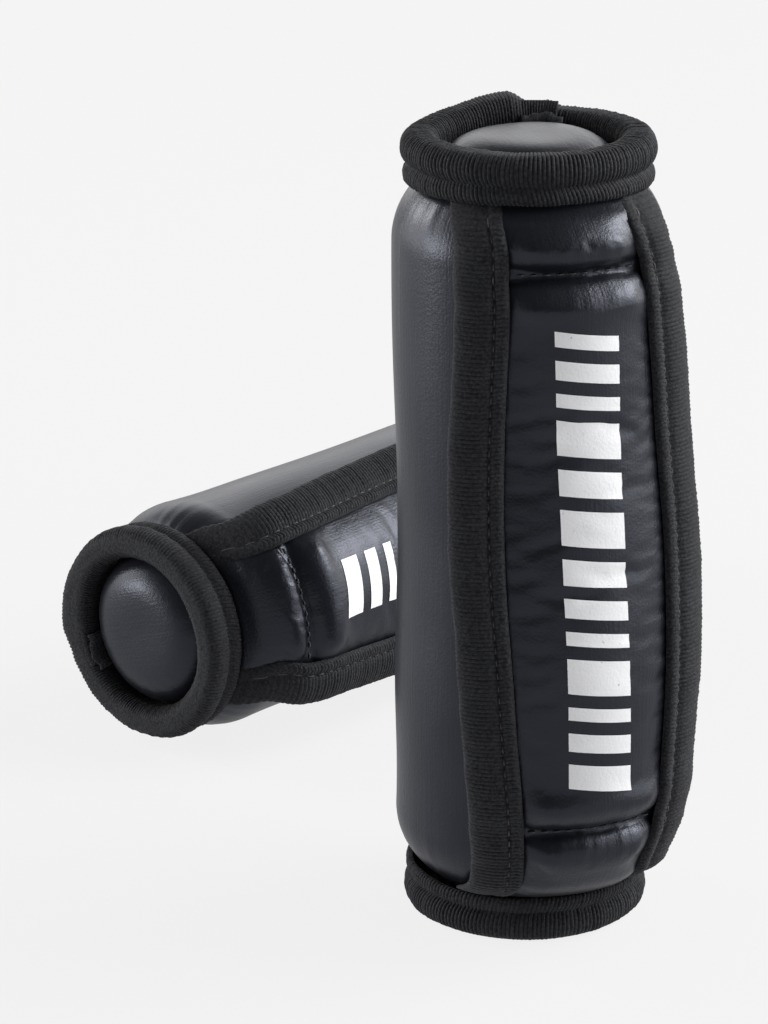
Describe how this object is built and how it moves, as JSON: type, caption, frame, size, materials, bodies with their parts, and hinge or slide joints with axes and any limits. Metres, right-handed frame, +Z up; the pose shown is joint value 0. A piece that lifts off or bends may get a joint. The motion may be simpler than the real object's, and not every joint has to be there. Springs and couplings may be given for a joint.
{
  "type": "weighted hand grip pair",
  "caption": "Pair of soft filled hand grips with rolled knit rims and a padded strap for the back of the hand.",
  "frame": {"origin": "middle of the standing grip's foot, on the surface it stands on", "axes": "+Z up along the standing grip; its hand strap faces -Y; the lying grip is behind it, towards +Y"},
  "size_m": [0.192, 0.287, 0.19],
  "materials": {
    "pu_cover": "semi-gloss grained PU leather",
    "pu_strap": "semi-gloss grained PU leather",
    "knit_binding": "ribbed stretch knit tape",
    "strap_lining": "brushed knit",
    "foam": "soft foam",
    "bag_cloth": "woven cloth",
    "iron_sand": "fine grains",
    "print": "matt screen print",
    "thread": "polyester thread"
  },
  "bodies": {
    "grip_a": {"grip_a_cover": "pu_cover", "grip_a_foam_sleeve": "foam", "grip_a_sand_bag": "bag_cloth", "grip_a_iron_sand": "iron_sand", "grip_a_top_disc": "pu_cover", "grip_a_bottom_disc": "pu_cover", "grip_a_top_disc_pad": "foam", "grip_a_bottom_disc_pad": "foam", "grip_a_top_rim": "knit_binding", "grip_a_bottom_rim": "knit_binding"},
    "strap_a": {"grip_a_strap_face": "pu_strap", "grip_a_strap_lining": "strap_lining", "grip_a_strap_lower_pad": "foam", "grip_a_strap_main_pad": "foam", "grip_a_strap_upper_pad": "foam", "grip_a_strap_binding_left": "knit_binding", "grip_a_strap_binding_right": "knit_binding"},
    "grip_b": {"grip_b_cover": "pu_cover", "grip_b_foam_sleeve": "foam", "grip_b_sand_bag": "bag_cloth", "grip_b_iron_sand": "iron_sand", "grip_b_top_disc": "pu_cover", "grip_b_bottom_disc": "pu_cover", "grip_b_top_disc_pad": "foam", "grip_b_bottom_disc_pad": "foam", "grip_b_top_rim": "knit_binding", "grip_b_bottom_rim": "knit_binding"},
    "strap_b": {"grip_b_strap_face": "pu_strap", "grip_b_strap_lining": "strap_lining", "grip_b_strap_lower_pad": "foam", "grip_b_strap_main_pad": "foam", "grip_b_strap_upper_pad": "foam", "grip_b_strap_binding_left": "knit_binding", "grip_b_strap_binding_right": "knit_binding"}
  },
  "joints": [
    {"name": "strap_a_lift", "type": "slide", "parent": "grip_a", "child": "strap_a", "axis": [0, -1, 0], "range_m": [0, 0.016], "stiffness_N_per_m": 400, "deforming": ["grip_a_strap_face", "grip_a_strap_lining", "grip_a_strap_lower_pad", "grip_a_strap_upper_pad", "grip_a_strap_binding_left", "grip_a_strap_binding_right"]},
    {"name": "grip_b_lift", "type": "slide", "parent": "grip_a", "child": "grip_b", "axis": [0, 0, 1], "range_m": [0, 0.12]},
    {"name": "strap_b_lift", "type": "slide", "parent": "grip_b", "child": "strap_b", "axis": [0.464, -0.8302, 0.309], "range_m": [0, 0.016], "stiffness_N_per_m": 400, "deforming": ["grip_b_strap_face", "grip_b_strap_lining", "grip_b_strap_lower_pad", "grip_b_strap_upper_pad", "grip_b_strap_binding_left", "grip_b_strap_binding_right"]}
  ]
}
